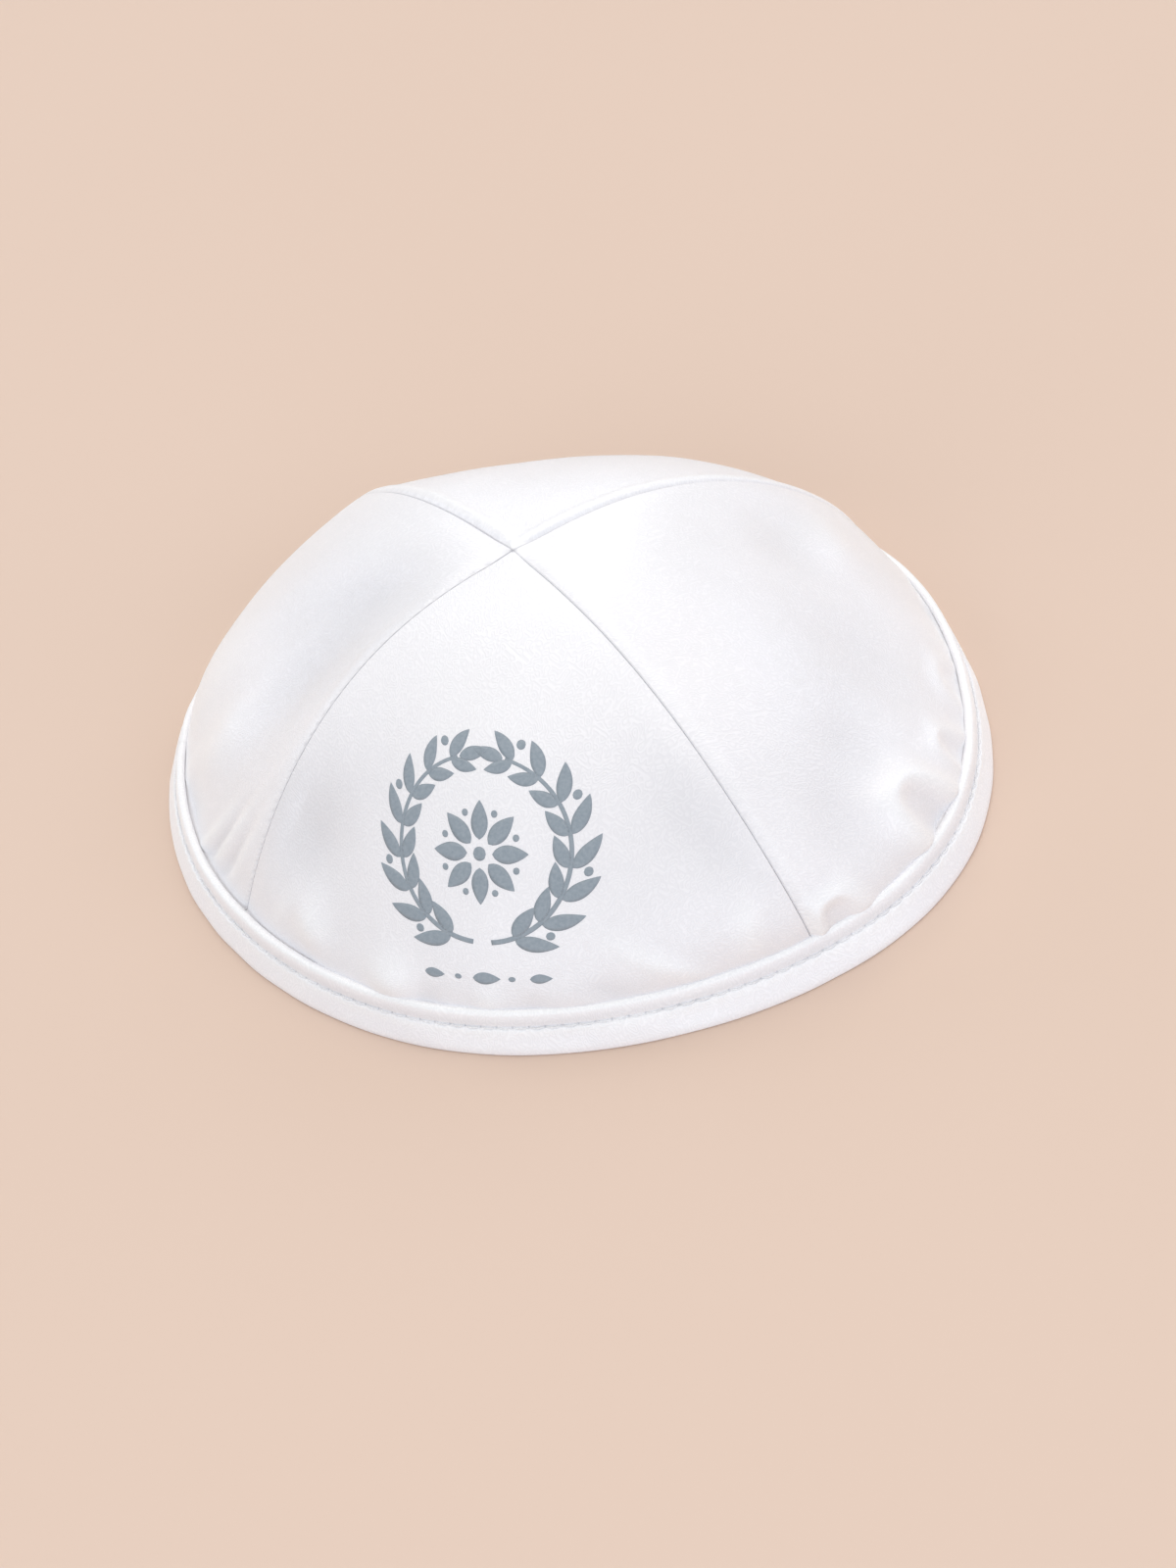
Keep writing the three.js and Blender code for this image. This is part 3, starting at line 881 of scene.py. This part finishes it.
def rosette(radius, petals):
    """A flower of pointed petals round a centre, with small dots between them."""
    strokes = [disc((0, 0), 1.25)]
    for n in range(petals):
        angle = 90 + 360 * n / petals
        at = np.array([math.cos(math.radians(angle)), math.sin(math.radians(angle))])
        strokes.append(leaf(at * 2.0, angle, radius - 2.0, 3.3))
        between = math.radians(angle + 180 / petals)
        strokes.append(disc(np.array([math.cos(between), math.sin(between)]) * radius * 0.86, 0.62))
    return strokes


def print_strokes():
    """The whole ornament: a wreath of two branches, a rosette in it and a row of lozenges below."""
    strokes = []
    for side in (1, -1):
        strokes += branch(side, WREATH_RADIUS, -90 + side * WREATH_START, WREATH_SWEEP, WREATH_LEAVES)
    strokes += rosette(ROSETTE_RADIUS, ROSETTE_PETALS)
    for x, size in LOZENGES:
        strokes.append(leaf((x - size / 2, ROW_BELOW), 0, size, size * 0.62))
    for x, radius in DOTS:
        strokes.append(disc((x, ROW_BELOW), radius))
    return strokes


def printed_ornament(material):
    """The print: thin strokes that lie on the front gore's satin."""
    name = "front"
    gore = GORES[name]
    parts = []
    for stroke in print_strokes():
        up = PRINT_UP + stroke[..., 1] / GORE_LENGTH
        across = PRINT_ACROSS + stroke[..., 0] / gore_width(gore, up)
        top = crown_points(name, across, up, PRINT_LIFT)
        base = crown_points(name, across, up, PRINT_LIFT - PRINT_DEPTH)
        rows, lanes = stroke.shape[:2]
        points = np.concatenate([top.reshape(-1, 3), base.reshape(-1, 3)])
        parts.append((points, closed_wall(rows, lanes)))
    points, faces = join_parts(parts)
    piece = make_object("printed_ornament", points, faces, material)
    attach(piece, "root")
    return piece


def new_material(name):
    material = bpy.data.materials.new(name)
    material.use_nodes = True
    nodes = material.node_tree.nodes
    return material, nodes, material.node_tree.links, nodes["Principled BSDF"]


def cloth_coordinates(nodes, links, turn, scale):
    """The flat cloth's coordinates, turned and scaled for a texture."""
    attribute = nodes.new("ShaderNodeAttribute")
    attribute.attribute_name = "cloth"
    mapping = nodes.new("ShaderNodeMapping")
    mapping.inputs["Rotation"].default_value = (0, 0, math.radians(turn))
    mapping.inputs["Scale"].default_value = scale
    links.new(attribute.outputs["Vector"], mapping.inputs["Vector"])
    return mapping.outputs["Vector"]


def object_coordinates(nodes, links, scale):
    """The object's own coordinates, scaled for a texture."""
    place = nodes.new("ShaderNodeTexCoord")
    mapping = nodes.new("ShaderNodeMapping")
    mapping.inputs["Scale"].default_value = (scale, scale, scale)
    links.new(place.outputs["Object"], mapping.inputs["Vector"])
    return mapping.outputs["Vector"]


def noise_texture(nodes, links, vector, detail, roughness):
    noise = nodes.new("ShaderNodeTexNoise")
    noise.inputs["Scale"].default_value = 1.0
    noise.inputs["Detail"].default_value = detail
    noise.inputs["Roughness"].default_value = roughness
    links.new(vector, noise.inputs["Vector"])
    return noise.outputs["Fac"]


def ramp(nodes, links, factor, low, high):
    """A smooth change between two colours."""
    node = nodes.new("ShaderNodeValToRGB")
    node.color_ramp.elements[0].position = 0.3
    node.color_ramp.elements[0].color = (*low, 1)
    node.color_ramp.elements[1].position = 0.7
    node.color_ramp.elements[1].color = (*high, 1)
    links.new(factor, node.inputs["Fac"])
    return node.outputs["Color"]


def map_range(nodes, links, value, low, high):
    node = nodes.new("ShaderNodeMapRange")
    node.inputs["From Min"].default_value = 0.3
    node.inputs["From Max"].default_value = 0.7
    node.inputs["To Min"].default_value = low
    node.inputs["To Max"].default_value = high
    links.new(value, node.inputs["Value"])
    return node.outputs["Result"]


def mix_in(nodes, links, factor, colour, added):
    """A colour that gives way to the added one as the factor rises."""
    node = nodes.new("ShaderNodeMix")
    node.data_type = "RGBA"
    links.new(factor, node.inputs["Factor"])
    links.new(colour, node.inputs["A"])
    node.inputs["B"].default_value = (*added, 1)
    return node.outputs["Result"]


def stored_value(nodes, name):
    node = nodes.new("ShaderNodeAttribute")
    node.attribute_name = name
    return node.outputs["Fac"]


def bump_node(nodes, links, height, strength, distance):
    node = nodes.new("ShaderNodeBump")
    node.inputs["Strength"].default_value = strength
    node.inputs["Distance"].default_value = distance
    links.new(height, node.inputs["Height"])
    return node


FLOAT_BUMP = (0.25, 0.00006)  # strength, and height in metres
GRAIN_BUMP = (0.5, 0.00003)
# colour of the painted highlight on crests of folds and on the binding's roll top and band edge
PAINTED_HIGHLIGHT_WHITE = (0.97, 0.97, 0.98)
# colour of the painted shade in creases, hollows, holes and under the roll; also the grey of the grain's
# hollows
PAINTED_SHADE_AND_GRAIN_GREY = (0.3, 0.3, 0.34)
WINDING_SCALE = (900, 680, 1)  # cells a metre, across and along the cloth
FLOAT_SCALE = (4200, 1300, 1)
TONE_SCALE = (45, 30, 1)
TONE_TURN = 15
GRAIN_TURNS = 4.0  # how many ridges of the winding grain a noise cell holds
GRAIN_GREY = (0.07, 0.0)  # how grey the grain's hollows and its ridges are
SATIN_ROUGH = (0.34, 0.42)
# Darker and lighter tone, and the grain's turn from the gore's middle line or the rim, in degrees
CROWN_SATIN = ((0.86, 0.845, 0.87), (0.9, 0.885, 0.91), 32)
BINDING_SATIN = ((0.93, 0.915, 0.945), (0.96, 0.95, 0.97), 40)


def satin(name, dark, light, grain_turn):
    """White satin: a fine winding grain, slanted floats, slight changes of tone, painted highlights and
    painted shade, and a soft sheen.
    """
    material, nodes, links, shader = new_material(name)
    winding_at = cloth_coordinates(nodes, links, grain_turn, WINDING_SCALE)
    winding = noise_texture(nodes, links, winding_at, 0.0, 0.5)
    phase = nodes.new("ShaderNodeMath")
    phase.operation = "MULTIPLY"
    phase.inputs[1].default_value = GRAIN_TURNS * 2 * math.pi
    links.new(winding, phase.inputs[0])
    grain = nodes.new("ShaderNodeMath")
    grain.operation = "SINE"
    links.new(phase.outputs[0], grain.inputs[0])
    float_at = cloth_coordinates(nodes, links, grain_turn, FLOAT_SCALE)
    floats = noise_texture(nodes, links, float_at, 1.0, 0.5)
    tone_at = cloth_coordinates(nodes, links, TONE_TURN, TONE_SCALE)
    tone = noise_texture(nodes, links, tone_at, 3.0, 0.5)
    grain_grey = map_range(nodes, links, grain.outputs[0], *GRAIN_GREY)
    colour = ramp(nodes, links, tone, dark, light)
    # painted highlight, then painted shade, from the stored masks
    colour = mix_in(nodes, links, stored_value(nodes, "painted_highlight_mask"), colour, PAINTED_HIGHLIGHT_WHITE)
    colour = mix_in(nodes, links, stored_value(nodes, "painted_shade_mask"), colour, PAINTED_SHADE_AND_GRAIN_GREY)
    colour = mix_in(nodes, links, grain_grey, colour, PAINTED_SHADE_AND_GRAIN_GREY)
    links.new(colour, shader.inputs["Base Color"])
    links.new(map_range(nodes, links, tone, *SATIN_ROUGH), shader.inputs["Roughness"])
    fine = bump_node(nodes, links, floats, *FLOAT_BUMP)
    coarse = bump_node(nodes, links, grain.outputs[0], *GRAIN_BUMP)
    links.new(fine.outputs["Normal"], coarse.inputs["Normal"])
    links.new(coarse.outputs["Normal"], shader.inputs["Normal"])
    shader.inputs["Sheen Weight"].default_value = 0.9
    shader.inputs["Sheen Roughness"].default_value = 0.4
    shader.inputs["Specular IOR Level"].default_value = 0.9
    return material


def thread(name):
    """White sewing thread, twisted from plies."""
    material, nodes, links, shader = new_material(name)
    plies = noise_texture(nodes, links, object_coordinates(nodes, links, 2500), 1.0, 0.5)
    colour = ramp(nodes, links, plies, (0.8, 0.8, 0.82), (0.93, 0.93, 0.94))
    links.new(colour, shader.inputs["Base Color"])
    bump = bump_node(nodes, links, plies, 0.3, 0.00005)
    links.new(bump.outputs["Normal"], shader.inputs["Normal"])
    shader.inputs["Roughness"].default_value = 0.55
    return material


def ink(name):
    """Matt slate ink with a slight grain of its own."""
    material, nodes, links, shader = new_material(name)
    grain = noise_texture(nodes, links, object_coordinates(nodes, links, 1500), 2.0, 0.6)
    colour = ramp(nodes, links, grain, (0.252, 0.298, 0.342), (0.312, 0.356, 0.4))
    links.new(colour, shader.inputs["Base Color"])
    bump = bump_node(nodes, links, grain, 0.2, 0.00005)
    links.new(bump.outputs["Normal"], shader.inputs["Normal"])
    shader.inputs["Roughness"].default_value = 0.5
    return material


def paper(name):
    """The pale floor."""
    material, nodes, links, shader = new_material(name)
    tone = noise_texture(nodes, links, object_coordinates(nodes, links, 3), 1.0, 0.5)
    colour = ramp(nodes, links, tone, (0.709, 0.55, 0.455), (0.721, 0.56, 0.465))
    links.new(colour, shader.inputs["Base Color"])
    shader.inputs["Roughness"].default_value = 0.95
    shader.inputs["Specular IOR Level"].default_value = 0.1
    return material


FLOOR_SIZE = 20000.0  # half its side


def floor(material):
    size = FLOOR_SIZE
    corners = np.array([[-size, -size, 0], [size, -size, 0], [size, size, 0], [-size, size, 0]])
    piece = make_object("floor", corners, [(0, 1, 2, 3)], material, smooth=False)
    return piece


WORLD_STRENGTH = 0.46
WORLD_COLOUR = (0.885, 0.93, 0.955)

# Soft far lights. azimuth and elevation are the direction that each stands in, in degrees, azimuth from
# the front gore's side towards the right gore's.
LIGHT_SPREAD = 32  # apparent size in degrees
LIGHT_COLUMNS = ("name", "azimuth", "elevation", "strength", "colour")
LIGHTS = [
    ("front_low", 20, 24, 0.53, (0.82, 0.89, 1.0)),
    ("front_right_low", 65, 24, 0.58, (0.85, 0.9, 1.0)),
    ("back_low", 190, 25, 0.36, (0.96, 0.96, 1.0)),
    ("back_right_low", 140, 24, 0.44, (0.82, 0.88, 1.0)),
    ("back_left_low", 245, 20, 0.4, (0.78, 0.84, 1.0)),
    ("front_left_low", 335, 24, 0.56, (0.88, 0.94, 1.0)),
    ("back_right_mid", 140, 54, 0.36, (1.0, 0.86, 0.74)),
    ("back_mid", 200, 54, 0.5, (1.0, 0.98, 0.9)),
    ("back_left_mid", 260, 54, 0.16, (1.0, 0.82, 0.64)),
    ("top", 0, 88, 0.44, (1.0, 0.93, 0.85)),
]


def sun_light(name, azimuth, elevation, strength, colour):
    data = bpy.data.lights.new(name, "SUN")
    data.angle = math.radians(LIGHT_SPREAD)
    data.energy = strength
    data.color = colour
    lamp = bpy.data.objects.new(name, data)
    bpy.context.scene.collection.objects.link(lamp)
    lamp.matrix_world = Matrix([list(row) for row in zip(*view_axes(azimuth, elevation))]).to_4x4()
    return lamp


# The camera, from the photograph's outline and seams
VIEW_AZIMUTH = 21.82
VIEW_ELEVATION = 39.2
VIEW_ROLL = 16.39
VIEW_DISTANCE = 0.6
PHOTO_SIZE = (1200, 1600)
PIXELS_PER_METRE = 4960  # at the middle of the rim, on the floor
MIDDLE_PIXEL = (585.3, 771.3)  # where that point falls in the photograph
SENSOR = 36.0


def view_axes(azimuth, elevation, roll=0.0):
    """Right, up and backward axes of a thing that looks at the origin from a direction, in degrees."""
    a, e, turn = (math.radians(angle) for angle in (azimuth, elevation, roll))
    back = np.array([math.sin(a) * math.cos(e), -math.cos(a) * math.cos(e), math.sin(e)])
    right = np.array([math.cos(a), math.sin(a), 0.0])
    upward = np.cross(back, right)
    return (
        right * math.cos(turn) - upward * math.sin(turn),
        right * math.sin(turn) + upward * math.cos(turn),
        back,
    )


def camera():
    data = bpy.data.cameras.new("camera")
    data.sensor_width = SENSOR
    data.lens = SENSOR * PIXELS_PER_METRE * VIEW_DISTANCE / PHOTO_SIZE[1]
    data.shift_x = (PHOTO_SIZE[0] / 2 - MIDDLE_PIXEL[0]) / PHOTO_SIZE[1]
    data.shift_y = (MIDDLE_PIXEL[1] - PHOTO_SIZE[1] / 2) / PHOTO_SIZE[1]
    data.clip_start = 0.01
    axes = view_axes(VIEW_AZIMUTH, VIEW_ELEVATION, VIEW_ROLL)
    view = bpy.data.objects.new("camera", data)
    turned = Matrix([list(row) for row in zip(*axes)]).to_4x4()
    place = Vector((*MIDDLE, 0)) * MM + Vector(axes[2]) * VIEW_DISTANCE
    view.matrix_world = Matrix.Translation(place) @ turned
    bpy.context.scene.collection.objects.link(view)
    bpy.context.scene.camera = view
    return view


def world(strength, colour):
    scene = bpy.context.scene
    scene.world = bpy.data.worlds.new("studio")
    scene.world.use_nodes = True
    background = scene.world.node_tree.nodes["Background"]
    background.inputs["Color"].default_value = (*colour, 1)
    background.inputs["Strength"].default_value = strength


camera()
world(WORLD_STRENGTH, WORLD_COLOUR)
for light_row in LIGHTS:
    light = dict(zip(LIGHT_COLUMNS, light_row))
    sun_light(light["name"], light["azimuth"], light["elevation"], light["strength"], light["colour"])
floor(paper("floor_paper"))

crown_material = satin("crown_satin", *CROWN_SATIN)
binding_material = satin("binding_satin", *BINDING_SATIN)
for gore_name in GORES:
    gore_piece(gore_name, crown_material)
binding_piece(binding_material)
rim_stitches(thread("white_thread"))
printed_ornament(ink("slate_ink"))

bpy.context.scene.view_settings.view_transform = "Standard"
